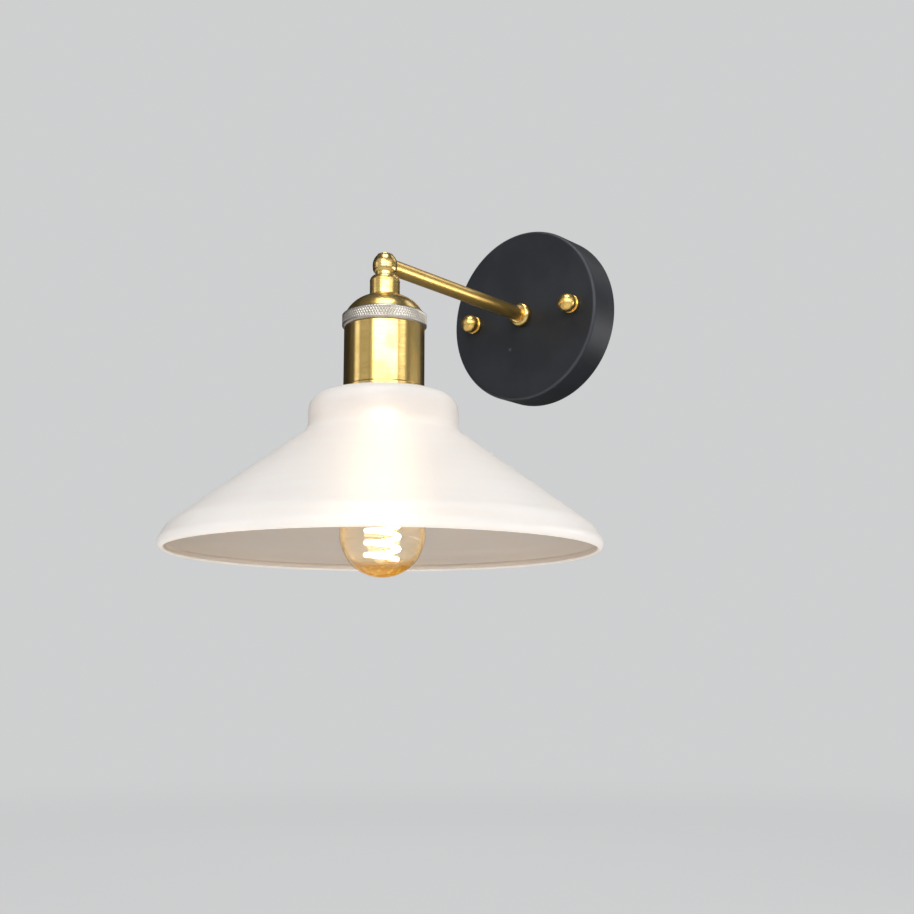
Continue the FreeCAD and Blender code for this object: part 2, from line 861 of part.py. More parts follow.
def makeSocket():
    body = turned("porcelain_body", [
        (zero, -porcelainTop),
        (shellInner, -porcelainTop),
        (shellInner, -porcelainBase),
        (porcelainRadius, -porcelainBase),
        (porcelainRadius, -porcelainBottom, size("small_round")),
        (screwShellOuter, -porcelainBottom),
        (screwShellOuter, -screwShellTop),
        (screwShellInner, -screwShellTop),
        (screwShellInner, -socketFloor),
        (zero, -socketFloor),
    ])
    keep(atLamp(body), "porcelain_body")
    shellOutline = ringOutline(screwShellInner, screwShellOuter, -porcelainBottom, -screwShellTop)
    keep(atLamp(turned("screw_shell", shellOutline)), "screw_shell")
    width = size("tongue_width")
    length = size("tongue_length")
    tongue = block("centre_contact", length, width, tongueThick)
    keep(atLamp(tongue, -length / 2, -width / 2, -socketFloor - tongueThick), "centre_contact")
    posts, screws = [], []
    for side in sides:
        wide = size("terminal_width")
        deep = size("terminal_depth")
        post = block(f"post{side + 1}", wide, deep, terminalHeight)
        posts.append(atLamp(post, terminalPlace * side - wide / 2, -deep / 2, -porcelainTop))
        screw = rod(f"post_screw{side + 1}", size("terminal_screw_radius"), size("terminal_screw_rise"))
        screws.append(atLamp(screw, terminalPlace * side, zero, -porcelainTop + terminalHeight))
    keep(together("holder_terminals", posts), "holder_terminals")
    keep(together("holder_terminal_screws", screws), "holder_terminal_screws")


# Shade fitting: a threaded sleeve through the glass, two washers and the big ring.
sleeveRadius = sleeveInner + size("sleeve_wall")
sleeveTop = porcelainBase
shadeTop = shellBottom + size("washer_thick")
glassWall = size("glass_wall")
shadeHole = sleeveRadius + size("shade_hole_gap")
lowerWasherTop = shadeTop + glassWall
ringSeat = lowerWasherTop + size("washer_thick")


def makeShadeFitting():
    flange = sleeveTop + size("sleeve_flange")
    sleeve = turned("shade_sleeve", [
        (sleeveInner, -sleeveTop),
        (shellInner, -sleeveTop),
        (shellInner, -flange),
        (sleeveRadius, -flange),
        (sleeveRadius, -size("sleeve_bottom")),
        (sleeveInner, -size("sleeve_bottom")),
    ])
    keep(atLamp(sleeve), "shade_sleeve")
    upper = ringOutline(shadeHole, shellRadius, -shadeTop, -shellBottom)
    keep(atLamp(turned("upper_shade_washer", upper)), "upper_shade_washer")
    lower = ringOutline(sleeveRadius, size("shade_washer_radius"), -ringSeat, -lowerWasherTop)
    keep(atLamp(turned("lower_shade_washer", lower)), "lower_shade_washer")
    ringLow = ringSeat + size("shade_ring_height")
    chamfer = size("shade_ring_chamfer")
    outer = size("shade_ring_radius")
    ring = turned("shade_ring", [
        (sleeveRadius, -ringSeat),
        (outer, -ringSeat),
        (outer, -ringLow + chamfer),
        (outer - chamfer, -ringLow),
        (sleeveRadius, -ringLow),
    ])
    keep(atLamp(ring), "shade_ring")


# Glass shade: flat top, short round neck, wide cone, steeper skirt and rolled lip.
# The cone's unit direction comes from its two ends, and the inside lies one wall in.
def makeShade():
    neck = size("shade_neck_radius")
    neckLow = size("shade_neck_bottom")
    kink = size("kink_radius")
    kinkDrop = size("kink_drop")
    outer = size("shade_radius")
    bottom = size("shade_bottom")
    lipTop = bottom - size("lip_height")
    lipInsetShare, lipRiseShare = 0.14, 1.10
    lipInnerShare, lipTurnShare, lipTurnRiseShare = 0.67, 0.98, 0.27
    lipInset = glassWall * lipInsetShare
    cone = math.hypot((kink - neck).value, (kinkDrop - neckLow).value)
    outShare = (kink - neck).value / cone
    downShare = (kinkDrop - neckLow).value / cone
    skirt = math.hypot((outer - lipInset - kink).value, (lipTop - kinkDrop).value)
    skirtOutShare = (outer - lipInset - kink).value / skirt
    skirtDownShare = (lipTop - kinkDrop).value / skirt
    tangent = size("shade_neck_fillet")
    half = (math.pi / 2 - math.asin(downShare)) / 2
    fillet = tangent / math.tan(half)
    filletX = neck + fillet
    filletZ = -neckLow + tangent
    mixShare = 1 + outShare * skirtOutShare + downShare * skirtDownShare
    kinkInFar = kink - glassWall * ((downShare + skirtDownShare) / mixShare)
    kinkInDrop = kinkDrop + glassWall * ((outShare + skirtOutShare) / mixShare)
    turn = math.acos(mixShare - 1)
    kinkRound = size("kink_round")
    kinkInRound = kinkRound - glassWall * math.tan(turn / 2)
    bendMidShare = math.tan(turn / 4) / math.sin(turn / 2) / 2
    bendOutShare = bendMidShare * (outShare - skirtOutShare)
    bendDownShare = bendMidShare * (skirtDownShare - downShare)
    inFillet = fillet + glassWall
    shade = turned("glass_shade", [
        (shadeHole, -shadeTop),
        (neck, -shadeTop, size("shade_neck_round")),
        (neck, filletZ),
        ("via", filletX - fillet * math.cos(half), filletZ - fillet * math.sin(half)),
        (neck + tangent * outShare, -neckLow - tangent * downShare),
        (kink - kinkRound * outShare, -kinkDrop + kinkRound * downShare),
        ("via", kink - kinkRound * bendOutShare, -kinkDrop - kinkRound * bendDownShare),
        (kink + kinkRound * skirtOutShare, -kinkDrop - kinkRound * skirtDownShare),
        (outer - lipInset, -lipTop),
        ("via", outer, -bottom + glassWall * lipRiseShare),
        (outer - glassWall * lipInnerShare, -bottom),
        ("via", outer - glassWall * lipTurnShare, -bottom + glassWall * lipTurnRiseShare),
        (outer - lipInset - glassWall * skirtDownShare, -lipTop - glassWall * skirtOutShare),
        (kinkInFar + kinkInRound * skirtOutShare, -kinkInDrop - kinkInRound * skirtDownShare),
        ("via", kinkInFar - kinkInRound * bendOutShare, -kinkInDrop - kinkInRound * bendDownShare),
        (kinkInFar - kinkInRound * outShare, -kinkInDrop + kinkInRound * downShare),
        (filletX - inFillet * math.cos(half * 2), filletZ - inFillet * math.sin(half * 2)),
        ("via", filletX - inFillet * math.cos(half), filletZ - inFillet * math.sin(half)),
        (neck - glassWall, filletZ),
        (neck - glassWall, -shadeTop - glassWall, size("shade_neck_round") - glassWall),
        (shadeHole, -shadeTop - glassWall),
    ])
    keep(atLamp(shade), "glass_shade")


# Bulb: cap and glass, with its solder tip a little under the centre contact.
tipTop = socketFloor + tongueThick + runGap
insulatorTop = tipTop + size("tip_height")
capTop = insulatorTop + size("insulator_height")
capBottom = capTop + size("bulb_cap_length")
bulbCapWall = size("bulb_cap_wall")
bulbRadius = size("bulb_radius")
bulbBottom = size("bulb_bottom")
bulbWall = size("bulb_glass_wall")
mouthRadius = size("bulb_mouth_radius")
mouthTop = capBottom - size("bulb_mouth_depth")
tipRadius = size("tip_radius")
stemGlassBottom = size("stem_glass_bottom")


def makeBulb():
    domeOutShare, domeDropShare = 0.60, 0.20
    tip = turned("bulb_tip", [
        (zero, -tipTop),
        ("via", tipRadius * domeOutShare, -tipTop - size("tip_height") * domeDropShare),
        (tipRadius, -insulatorTop),
        (zero, -insulatorTop),
    ])
    keep(atLamp(tip), "bulb_tip")
    insulatorRadius = size("insulator_radius")
    insulator = turned("bulb_insulator", [
        (zero, -insulatorTop),
        (tipRadius + size("small_round"), -insulatorTop),
        (insulatorRadius, -capTop),
        (zero, -capTop),
    ])
    keep(atLamp(insulator), "bulb_insulator")
    taper = size("bulb_cap_taper")
    cap = turned("bulb_cap", [
        (insulatorRadius - taper, -capTop),
        (insulatorRadius, -capTop),
        (bulbCapRadius, -capTop - taper),
        (bulbCapRadius, -capBottom),
        (mouthRadius, -capBottom),
        (mouthRadius, -mouthTop),
        (bulbCapRadius - bulbCapWall, -mouthTop),
        (bulbCapRadius - bulbCapWall, -capTop - taper),
        (insulatorRadius - taper, -capTop - bulbCapWall),
    ])
    keep(atLamp(cap), "bulb_cap")
    fullTop = size("bulb_full_top")
    half = math.sqrt(0.5)
    middle = bulbBottom - bulbRadius
    flareShares = (0.42, 0.60)
    rise = fullTop - capBottom
    spread = bulbRadius - mouthRadius

    # one skin of the bulb, drawn from its mouth to the point of its round end
    def skin(inset):
        ball = bulbRadius - inset
        return [
            (mouthRadius - inset, -mouthTop),
            (mouthRadius - inset, -capBottom),
            ("via", mouthRadius + spread * flareShares[0] - inset, -capBottom - rise * flareShares[1]),
            (ball, -fullTop),
            (ball, -middle),
            ("via", ball * half, -middle - ball * half),
            (zero, -middle - ball),
        ]

    inner = skin(bulbWall)
    backwards = list(reversed(inner))
    keep(atLamp(turned("bulb_glass", skin(zero) + backwards)), "bulb_glass")
    stem = size("stem_glass_radius")
    flareTop = mouthTop
    flareLow = flareTop + size("stem_flare_height")
    press = turned("bulb_stem", [
        (zero, -flareTop),
        (mouthRadius - bulbWall, -flareTop),
        (mouthRadius - bulbWall, -flareTop - size("small_round")),
        (stem, -flareLow - size("small_round")),
        (stem, -stemGlassBottom),
        (zero, -stemGlassBottom),
    ])
    keep(atLamp(press), "bulb_stem")


def vector(x, y, z):
    return FreeCAD.Vector(x.value, y.value, z.value)


# Spiral filament: one tube whose helix is spelled out in quarter turns.
# Its straight ends meet the two lead wires end to end.
def makeFilament():
    radius = size("filament_radius").value
    pitch = size("filament_pitch").value
    top = size("filament_top").value
    tube = size("filament_tube").value
    stepAngle = math.pi / 2
    slope = pitch / (2 * math.pi * radius)
    fall = pitch / 4

    def spot(step):
        angle = step * stepAngle
        return FreeCAD.Vector(radius * math.cos(angle), radius * math.sin(angle), -top - fall * step)

    def way(step):
        angle = step * stepAngle
        return FreeCAD.Vector(-math.sin(angle), math.cos(angle), -slope).normalize()

    steps = filamentTurns * 4
    start = spot(0) - way(0) * (2 * tube)
    end = spot(steps) + way(steps) * (2 * tube)
    edges = [Part.LineSegment(start, spot(0)).toShape()]
    for step in range(steps):
        edges += biarc(spot(step), way(step), spot(step + 1), way(step + 1))
    edges.append(Part.LineSegment(spot(steps), end).toShape())
    coil = Part.Wire(edges)
    print("filament least gap to itself", round(leastGap(coil, tube), 3))
    keep(atLamp(swept("bulb_filament", tubeAlong(coil, tube))), "bulb_filament")
    makeLeads(start, way(0), end, way(steps))


# The least clear distance between neighbouring turns, measured on points.
def leastGap(wire, tube):
    points = wire.discretize(Distance=tube)
    apart = int(math.pi * size("filament_radius").value / tube)
    best = math.inf
    for index, point in enumerate(points):
        for other in points[index + apart:]:
            best = min(best, point.distanceToPoint(other))
    return best - 2 * tube


def makeLeads(start, startWay, end, endWay):
    spread = size("lead_spread").value
    side = size("lead_side").value
    last = size("lead_last_run").value
    radius = size("lead_tube").value
    stemLow = -stemGlassBottom.value
    turn = FreeCAD.Vector(0, -side, 0)
    shortPoints = [
        FreeCAD.Vector(0, -spread, stemLow),
        FreeCAD.Vector(0, -spread, (start - startWay * last).z),
        start - startWay * last,
        start,
    ]
    longPoints = [
        FreeCAD.Vector(0, spread, stemLow),
        FreeCAD.Vector(0, spread, (end + endWay * last).z),
        FreeCAD.Vector(0, side, (end + endWay * last).z),
        end + endWay * last,
        end,
    ]
    leads = []
    bendShare = 0.45
    for name, points in (("short_lead", shortPoints), ("long_lead", longPoints)):
        radii = []
        for before, corner, after in zip(points, points[1:], points[2:]):
            runs = ((before - corner).Length, (after - corner).Length)
            angle = math.pi - (before - corner).getAngle(after - corner)
            radii.append(bendShare * min(runs) / math.tan(angle / 2))
        leads.append(atLamp(swept(name, tubeAlong(pathThrough(points, radii), radius))))
    keep(together("bulb_leads", leads), "bulb_leads")


# Wires: two cores from the block through the arm to the stem, where the head's own
# pair carries on to the holder's terminals, and a short earth link on the strap.
wireRadius = size("wire_radius")
wireSpread = size("wire_spread")


def makeWires():
    back = size("wire_back")
    rise = size("wire_rise")
    splitTop = stemBottom
    splitLow = stemBottom + runGap
    entryHeight = size("terminal_entry")
    for side, name in ((-1, "live_wire"), (1, "neutral_wire")):
        core = wireSpread * side
        pole = polePlace * side
        points = [
            vector(pole, -back, -blockTop),
            vector(pole, -back, -blockTop + rise),
            vector(core, -back, zero),
            vector(core, -lampAxis, zero),
            vector(core, -lampAxis, -splitTop),
        ]
        bends = [size("wire_bend").value, size("wire_bend").value, size("wire_elbow").value]
        keep(swept(name, tubeAlong(pathThrough(points, bends), wireRadius.value)), name)
        entry = terminalPlace * side - size("terminal_width") / 2 * side
        height = -porcelainTop + entryHeight
        points = [
            vector(core, zero, -splitLow),
            vector(core, zero, height),
            vector(entry, zero, height),
        ]
        tail = tubeAlong(pathThrough(points, [size("wire_small_bend").value]), wireRadius.value)
        keep(atLamp(swept(f"head_{name}", tail)), f"head_{name}")
    wireOut = strapThick + size("earth_head_height") / 2
    edge = size("block_width") / 2
    points = [
        vector(edge, -wireOut - wireRadius, blockMiddle),
        vector(earthPlace, -wireOut - wireRadius, blockMiddle),
        vector(earthPlace, -wireOut - wireRadius, -size("earth_drop") - size("earth_head_radius")),
    ]
    link = swept("earth_wire", tubeAlong(pathThrough(points, [size("wire_bend").value]), wireRadius.value))
    keep(link, "earth_wire")


makeBackplate()
makeStrap()
makeStuds()
makeTerminalBlock()
makeArm()
makeBall()
makeSwivel()
makeHolder()
makeSocket()
makeShadeFitting()
makeShade()
makeBulb()
makeFilament()
makeWires()
document.recompute()

faults = []
for item in document.Objects:
    if "Invalid" in item.State or "Error" in item.State:
        faults.append(f"{item.Name} is in state {item.State}")
for label, item in kept.items():
    if item.Shape.isNull() or not item.Shape.isValid() or not item.Shape.Solids:
        faults.append(f"{label} has no valid solid")
if faults:
    raise RuntimeError("; ".join(faults))

os.makedirs("parts", exist_ok=True)
for label, item in kept.items():
    item.Shape.exportStep(f"parts/{label}.step")
print(len(kept), "nodes written")
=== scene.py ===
import json
import math
import bpy
from mathutils import Matrix, Vector


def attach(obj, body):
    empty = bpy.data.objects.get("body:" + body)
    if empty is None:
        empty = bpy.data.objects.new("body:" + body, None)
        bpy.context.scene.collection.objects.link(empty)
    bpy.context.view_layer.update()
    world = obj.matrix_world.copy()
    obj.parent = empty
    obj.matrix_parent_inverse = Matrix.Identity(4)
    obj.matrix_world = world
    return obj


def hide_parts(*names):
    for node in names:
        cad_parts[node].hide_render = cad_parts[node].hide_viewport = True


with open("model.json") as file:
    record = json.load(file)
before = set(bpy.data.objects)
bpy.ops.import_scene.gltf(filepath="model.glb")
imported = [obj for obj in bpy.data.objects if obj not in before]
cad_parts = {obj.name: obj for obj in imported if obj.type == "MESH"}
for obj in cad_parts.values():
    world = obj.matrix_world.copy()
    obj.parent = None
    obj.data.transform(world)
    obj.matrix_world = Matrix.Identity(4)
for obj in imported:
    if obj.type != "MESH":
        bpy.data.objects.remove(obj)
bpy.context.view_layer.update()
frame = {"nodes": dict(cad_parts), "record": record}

print("frame loaded:", len(frame["nodes"]), "nodes")

mm = 0.001
lampReach = 138.5 * mm          # wall to the lamp's vertical axis
lampAxis = Vector((0, -lampReach, 0))


# A socket that does sums: every sum adds a Math node.
class Strand:
    def __init__(self, finish, socket):
        self.finish = finish
        self.socket = socket

    def math(self, operation, first, second):
        settings = {"operation": operation}
        return self.finish.node("ShaderNodeMath", settings, {0: first, 1: second})

    def __add__(self, other):
        return self.math("ADD", self, other)

    def __radd__(self, other):
        return self.math("ADD", other, self)

    def __rsub__(self, other):
        return self.math("SUBTRACT", other, self)

    def __mul__(self, other):
        return self.math("MULTIPLY", self, other)

    def __rmul__(self, other):
        return self.math("MULTIPLY", other, self)


# A material or world under construction, with one method for any node.
class Finish:
    def __init__(self, name, library=bpy.data.materials):
        self.made = library.new(name)
        self.made.use_nodes = True
        self.tree = self.made.node_tree
        self.tree.nodes.clear()

    def node(self, kind, settings=None, sockets=None, out=0):
        made = self.tree.nodes.new(kind)
        for key, value in (settings or {}).items():
            setattr(made, key, value)
        for key, value in (sockets or {}).items():
            if isinstance(value, Strand):
                self.tree.links.new(value.socket, made.inputs[key])
            else:
                made.inputs[key].default_value = value
        return Strand(self, made.outputs[out])

    def place(self):
        return self.node("ShaderNodeTexCoord", out="Object")

    # sums on vectors, with the result's name where it is a number
    def vector(self, operation, first, second=None, out=0):
        sockets = {0: first} if second is None else {0: first, 1: second}
        return self.node("ShaderNodeVectorMath", {"operation": operation}, sockets, out)

    # place measured from the lamp's vertical axis
    def aboutLamp(self):
        return self.vector("SUBTRACT", self.place(), lampAxis)

    def stretched(self, place, scale):
        return self.vector("MULTIPLY", place, scale)

    def cloud(self, vector, scale, detail=3.0, rough=0.5):
        sockets = {"Vector": vector, "Scale": scale, "Detail": detail, "Roughness": rough}
        return self.node("ShaderNodeTexNoise", {}, sockets, "Fac")

    # a cloud pulled long: the scale is given for each direction
    def streaks(self, vector, scale, detail, rough=0.5):
        return self.cloud(self.stretched(vector, scale), 1.0, detail, rough)

    def part(self, vector, axis):
        return self.node("ShaderNodeSeparateXYZ", {}, {0: vector}, axis)

    # 0 at low, 1 at high
    def rise(self, value, low, high):
        sockets = {"Value": value, "From Min": low, "From Max": high}
        return self.node("ShaderNodeMapRange", {"interpolation_type": "SMOOTHSTEP"}, sockets)

    # the colour sockets of a Mix node are its inputs 6 and 7 and its output 2
    def blend(self, share, first, second):
        sockets = {0: share, 6: first, 7: second}
        return self.node("ShaderNodeMix", {"data_type": "RGBA"}, sockets, 2)

    def bump(self, height, strength, distance):
        sockets = {"Height": height, "Strength": strength, "Distance": distance}
        return self.node("ShaderNodeBump", {}, sockets)

    def surface(self, sockets):
        return self.node("ShaderNodeBsdfPrincipled", {}, sockets)

    def mixed(self, share, first, second):
        return self.node("ShaderNodeMixShader", {}, {0: share, 1: first, 2: second})

    def done(self, shader, output="ShaderNodeOutputMaterial"):
        end = self.tree.nodes.new(output)
        self.tree.links.new(shader.socket, end.inputs["Surface"])
        return self.made


def rgba(red, green, blue):
    return (red, green, blue, 1.0)


black = rgba(0.0, 0.0, 0.0)
level = (1.0, 1.0, 0.0)          # keeps what is level of a vector


# Metals. Turned brass has fine rings round its axis, the arm has lines along its length.
brassLook = {
    "warm": rgba(0.80, 0.575, 0.21),
    "deep": rgba(0.62, 0.41, 0.11),
    "roughLow": 0.19,
    "roughHigh": 0.27,
    "lacquer": 0.5,
    "lacquerRough": 0.16,
    "lineScale": (90.0, 90.0, 5200.0),
    "lineDetail": 3.0,
    "lineFine": 0.55,
    "lineBump": 0.05,
    "lineDepth": 0.012 * mm,
    "wearScale": 90.0,
    "toneSpan": (0.34, 0.66),
    "stretch": 0.55,
    "stretchTurn": 0.25,
}
armLook = dict(brassLook, warm=rgba(0.86, 0.59, 0.18), deep=rgba(0.70, 0.44, 0.10), stretch=0.0,
               roughLow=0.32, roughHigh=0.40, lineScale=(900.0, 26.0, 900.0))
turnedLook = dict(brassLook, stretch=0.0, roughLow=0.23, roughHigh=0.31, lacquer=0.55)


def brushedBrass(name, look):
    paint = Finish(name)
    place = paint.aboutLamp()
    lines = paint.streaks(place, look["lineScale"], look["lineDetail"], look["lineFine"])
    wear = paint.cloud(place, look["wearScale"])
    tone = paint.rise(lines * 0.5 + wear * 0.5, *look["toneSpan"])
    return paint.done(paint.surface({
        "Base Color": paint.blend(tone, look["deep"], look["warm"]),
        "Metallic": 1.0,
        "Roughness": look["roughLow"] + (look["roughHigh"] - look["roughLow"]) * (1 - tone),
        "Anisotropic": look["stretch"],
        "Anisotropic Rotation": look["stretchTurn"],
        "Coat Weight": look["lacquer"],
        "Coat Roughness": look["lacquerRough"],
        "Normal": paint.bump(lines, look["lineBump"], look["lineDepth"]),
    }))


polishedLook = {
    "light": rgba(0.89, 0.61, 0.20),
    "dark": rgba(0.84, 0.55, 0.165),
    "rough": 0.27,
    "roughMore": 0.06,
    "smearScale": 900.0,
    "smearDetail": 2.0,
    "smearBump": 0.02,
    "smearDepth": 0.01 * mm,
}


def polishedBrass(name, look=polishedLook):
    paint = Finish(name)
    smear = paint.cloud(paint.place(), look["smearScale"], look["smearDetail"])
    return paint.done(paint.surface({
        "Base Color": paint.blend(smear, look["dark"], look["light"]),
        "Metallic": 1.0,
        "Roughness": look["rough"] + smear * look["roughMore"],
        "Normal": paint.bump(smear, look["smearBump"], look["smearDepth"]),
    }))


metalLook = {
    "grainDetail": 4.0,
    "stainShare": 1 / 8,         # of the grain's scale
    "stainDetail": 2.0,
    "stainSpan": (0.3, 0.7),
    "roughMore": 0.16,
    "grainBump": 0.12,
    "grainDepth": 0.03 * mm,
}


def plainMetal(name, light, dark, rough, scale, look=metalLook):
    paint = Finish(name)
    place = paint.place()
    grain = paint.cloud(place, scale, look["grainDetail"])
    stain = paint.cloud(place, scale * look["stainShare"], look["stainDetail"])
    return paint.done(paint.surface({
        "Base Color": paint.blend(paint.rise(stain, *look["stainSpan"]), dark, light),
        "Metallic": 1.0,
        "Roughness": rough + grain * look["roughMore"],
        "Normal": paint.bump(grain, look["grainBump"], look["grainDepth"]),
    }))


# Backplate paint: matte charcoal powder coat with dust and a nick, and a painted highlight along
# the rounded front edge.
paintLook = {
    "dark": rgba(0.0118, 0.0138, 0.0175),
    "light": rgba(0.0185, 0.0215, 0.027),
    "patchScale": 38.0,
    "patchDetail": 4.0,
    "patchSpan": (0.35, 0.7),
    "rough": 0.42,
    "roughMore": 0.14,
    "gloss": 0.28,
    "peelScale": 2600.0,
    "peelBump": 0.22,
    "peelDepth": 0.05 * mm,
    "dust": rgba(0.16, 0.17, 0.18),
    "speckScale": 900.0,
    "speckDetail": 1.0,
    "speckSpan": (0.78, 0.86),
    "speckShare": 0.20,
    "nickSpot": Vector((-9.0 * mm, -20.0 * mm, -19.0 * mm)),
    "nickReach": (0.0, 1.6 * mm),
    "nickSpan": (0.42, 0.60),
    "nickShare": 0.8,
    # painted highlight: a lighter grey where the rounded front edge catches the light
    "edgeHighlight": rgba(0.060, 0.066, 0.076),
    "edgeHighlightLeast": 0.4,
    "edgeHighlightReach": (48.3 * mm, 49.3 * mm),          # from the plate's axis
    "edgeHighlightDepth": (-19.4 * mm, -18.2 * mm),        # from the wall
}
upright = (1.0, 0.0, 1.0)        # keeps what lies in the plate's face


def powderCoat(name, look=paintLook):
    paint = Finish(name)
    place = paint.place()
    patches = paint.cloud(place, look["patchScale"], look["patchDetail"])
    peel = paint.cloud(place, look["peelScale"])
    speckCloud = paint.cloud(place, look["speckScale"], look["speckDetail"])
    specks = paint.rise(speckCloud, *look["speckSpan"])
    toNick = paint.vector("DISTANCE", place, look["nickSpot"], "Value")
    nick = (1 - paint.rise(toNick, *look["nickReach"])) * paint.rise(peel, *look["nickSpan"])
    # painted highlight on the rounded front edge, stronger where the coat's patches are
    fromAxis = paint.vector("LENGTH", paint.stretched(place, upright), out="Value")
    front = 1 - paint.rise(paint.part(place, "Y"), *look["edgeHighlightDepth"])
    edgeHighlight = paint.rise(fromAxis, *look["edgeHighlightReach"]) * front
    edgeHighlightShare = look["edgeHighlightLeast"] + patches * (1 - look["edgeHighlightLeast"])
    coat = paint.blend(paint.rise(patches, *look["patchSpan"]), look["dark"], look["light"])
    # lay the painted edge highlight over the coat
    coat = paint.blend(edgeHighlight * edgeHighlightShare, coat, look["edgeHighlight"])
    dusty = specks * look["speckShare"] + nick * look["nickShare"]
    return paint.done(paint.surface({
        "Base Color": paint.blend(dusty, coat, look["dust"]),
        "Roughness": look["rough"] + patches * look["roughMore"],
        "Specular IOR Level": look["gloss"],
        "Normal": paint.bump(peel, look["peelBump"], look["peelDepth"]),
    }))


# Frosted opal glass: half of the light passes and is spread wide, half is scattered back.
# A painted glow (emission) stands in for the bulb's light coming out on the outside, more at
# the lip and most at the rim's end, and the inside is painted duller as shade.
frostLook = {
    "white": rgba(0.93, 0.91, 0.89),
    "cool": rgba(0.88, 0.86, 0.84),
    # painted shade: the inside is the same glass, given a duller colour
    "inside": rgba(0.62, 0.57, 0.52),
    "insideSpan": (-0.5, 0.3),
    "rough": 0.32,
    "roughMore": 0.14,
    "through": 0.46,
    "bend": 1.45,
    "gloss": 0.25,
    "ringScale": (14.0, 14.0, 220.0),
    "ringDetail": 4.0,
    "driftScale": 26.0,
    "frostScale": 5200.0,
    "frostDetail": 2.0,
    "frostBump": 0.08,
    "frostDepth": 0.015 * mm,
    "toneSpan": (0.34, 0.66),
    # painted glow over the outside, brighter at the lip and at the rim's end, standing in for
    # the bulb's light
    "paintedShellGlow": rgba(0.085, 0.082, 0.078),
    "paintedLipGlow": rgba(0.22, 0.212, 0.205),
    "lipHeight": (-146.0 * mm, -141.5 * mm),
    "paintedRimGlow": rgba(0.34, 0.315, 0.285),
    "rimHeight": (-146.6 * mm, -145.7 * mm),
}


def frostedGlass(name, look=frostLook):
    paint = Finish(name)
    place = paint.aboutLamp()
    rings = paint.streaks(place, look["ringScale"], look["ringDetail"])
    drift = paint.cloud(place, look["driftScale"])
    frost = paint.cloud(place, look["frostScale"], look["frostDetail"])
    tone = paint.rise(rings * 0.5 + drift * 0.5, *look["toneSpan"])
    facing = paint.node("ShaderNodeTexCoord", out="Normal")
    away = paint.vector("NORMALIZE", paint.stretched(place, level))
    outward = paint.vector("DOT_PRODUCT", facing, away, "Value")
    outside = paint.rise(outward + paint.part(facing, "Z"), *look["insideSpan"])
    height = paint.part(place, "Z")
    # masks for the painted glow at the lip and at the rim's end
    lip = outside * (1 - paint.rise(height, *look["lipHeight"]))
    rim = 1 - paint.rise(height, *look["rimHeight"])
    glow = paint.blend(outside, black, look["paintedShellGlow"])
    glow = paint.blend(lip, glow, look["paintedLipGlow"])
    frosting = paint.blend(tone, look["cool"], look["white"])
    return paint.done(paint.surface({
        "Base Color": paint.blend(outside, look["inside"], frosting),
        "Roughness": look["rough"] + drift * look["roughMore"],
        "Transmission Weight": look["through"],
        "IOR": look["bend"],
        "Specular IOR Level": look["gloss"],
        "Emission Color": paint.blend(rim, glow, look["paintedRimGlow"]),
        "Emission Strength": 1.0,
        "Normal": paint.bump(frost, look["frostBump"], look["frostDepth"]),
    }))


# Bulb glass: thin pale tube, deep amber at its outline and in its round end.
# Its emission is painted glow standing in for the filament's light: a haze over the middle,
# amber glow and glints in the round end.
amberLook = {
    "pale": rgba(0.40, 0.37, 0.20),
    "deep": rgba(0.24, 0.10, 0.008),
    # painted glow: a haze where the glass faces the eye, and amber in the round end
    "paintedHaze": rgba(0.10, 0.080, 0.036),
    "glow": rgba(0.62, 0.26, 0.004),
    "glowPower": 0.8,
    "endReach": (8.0 * mm, 18.0 * mm),            # from the bulb's axis
    "endHeight": (-152.0 * mm, -146.0 * mm),
    "endShare": 0.9,
    "edgeWidth": 0.22,
    "edgeShare": 0.8,
    "tintSpan": (0.0, 0.9),
    "thin": 0.05,
    "thick": 0.98,
    "filmEdge": 1.8,
    "filmRipple": 0.08,
    "rippleScale": (60.0, 60.0, 24.0),
    "rippleDetail": 2.0,
    "rippleBump": 0.05,
    "rippleDepth": 0.2 * mm,
    # painted glints in the round end
    "spark": rgba(1.0, 0.66, 0.10),
    "sparkScale": 420.0,
    "sparkDetail": 1.0,
    "sparkSpan": (0.56, 0.66),
    "sparkShare": 0.5,
    "rough": 0.06,
    "shine": rgba(1.0, 0.97, 0.92),
    "shineRough": 0.05,
    "shineLeast": 0.03,
    "shineEdge": 0.6,
}


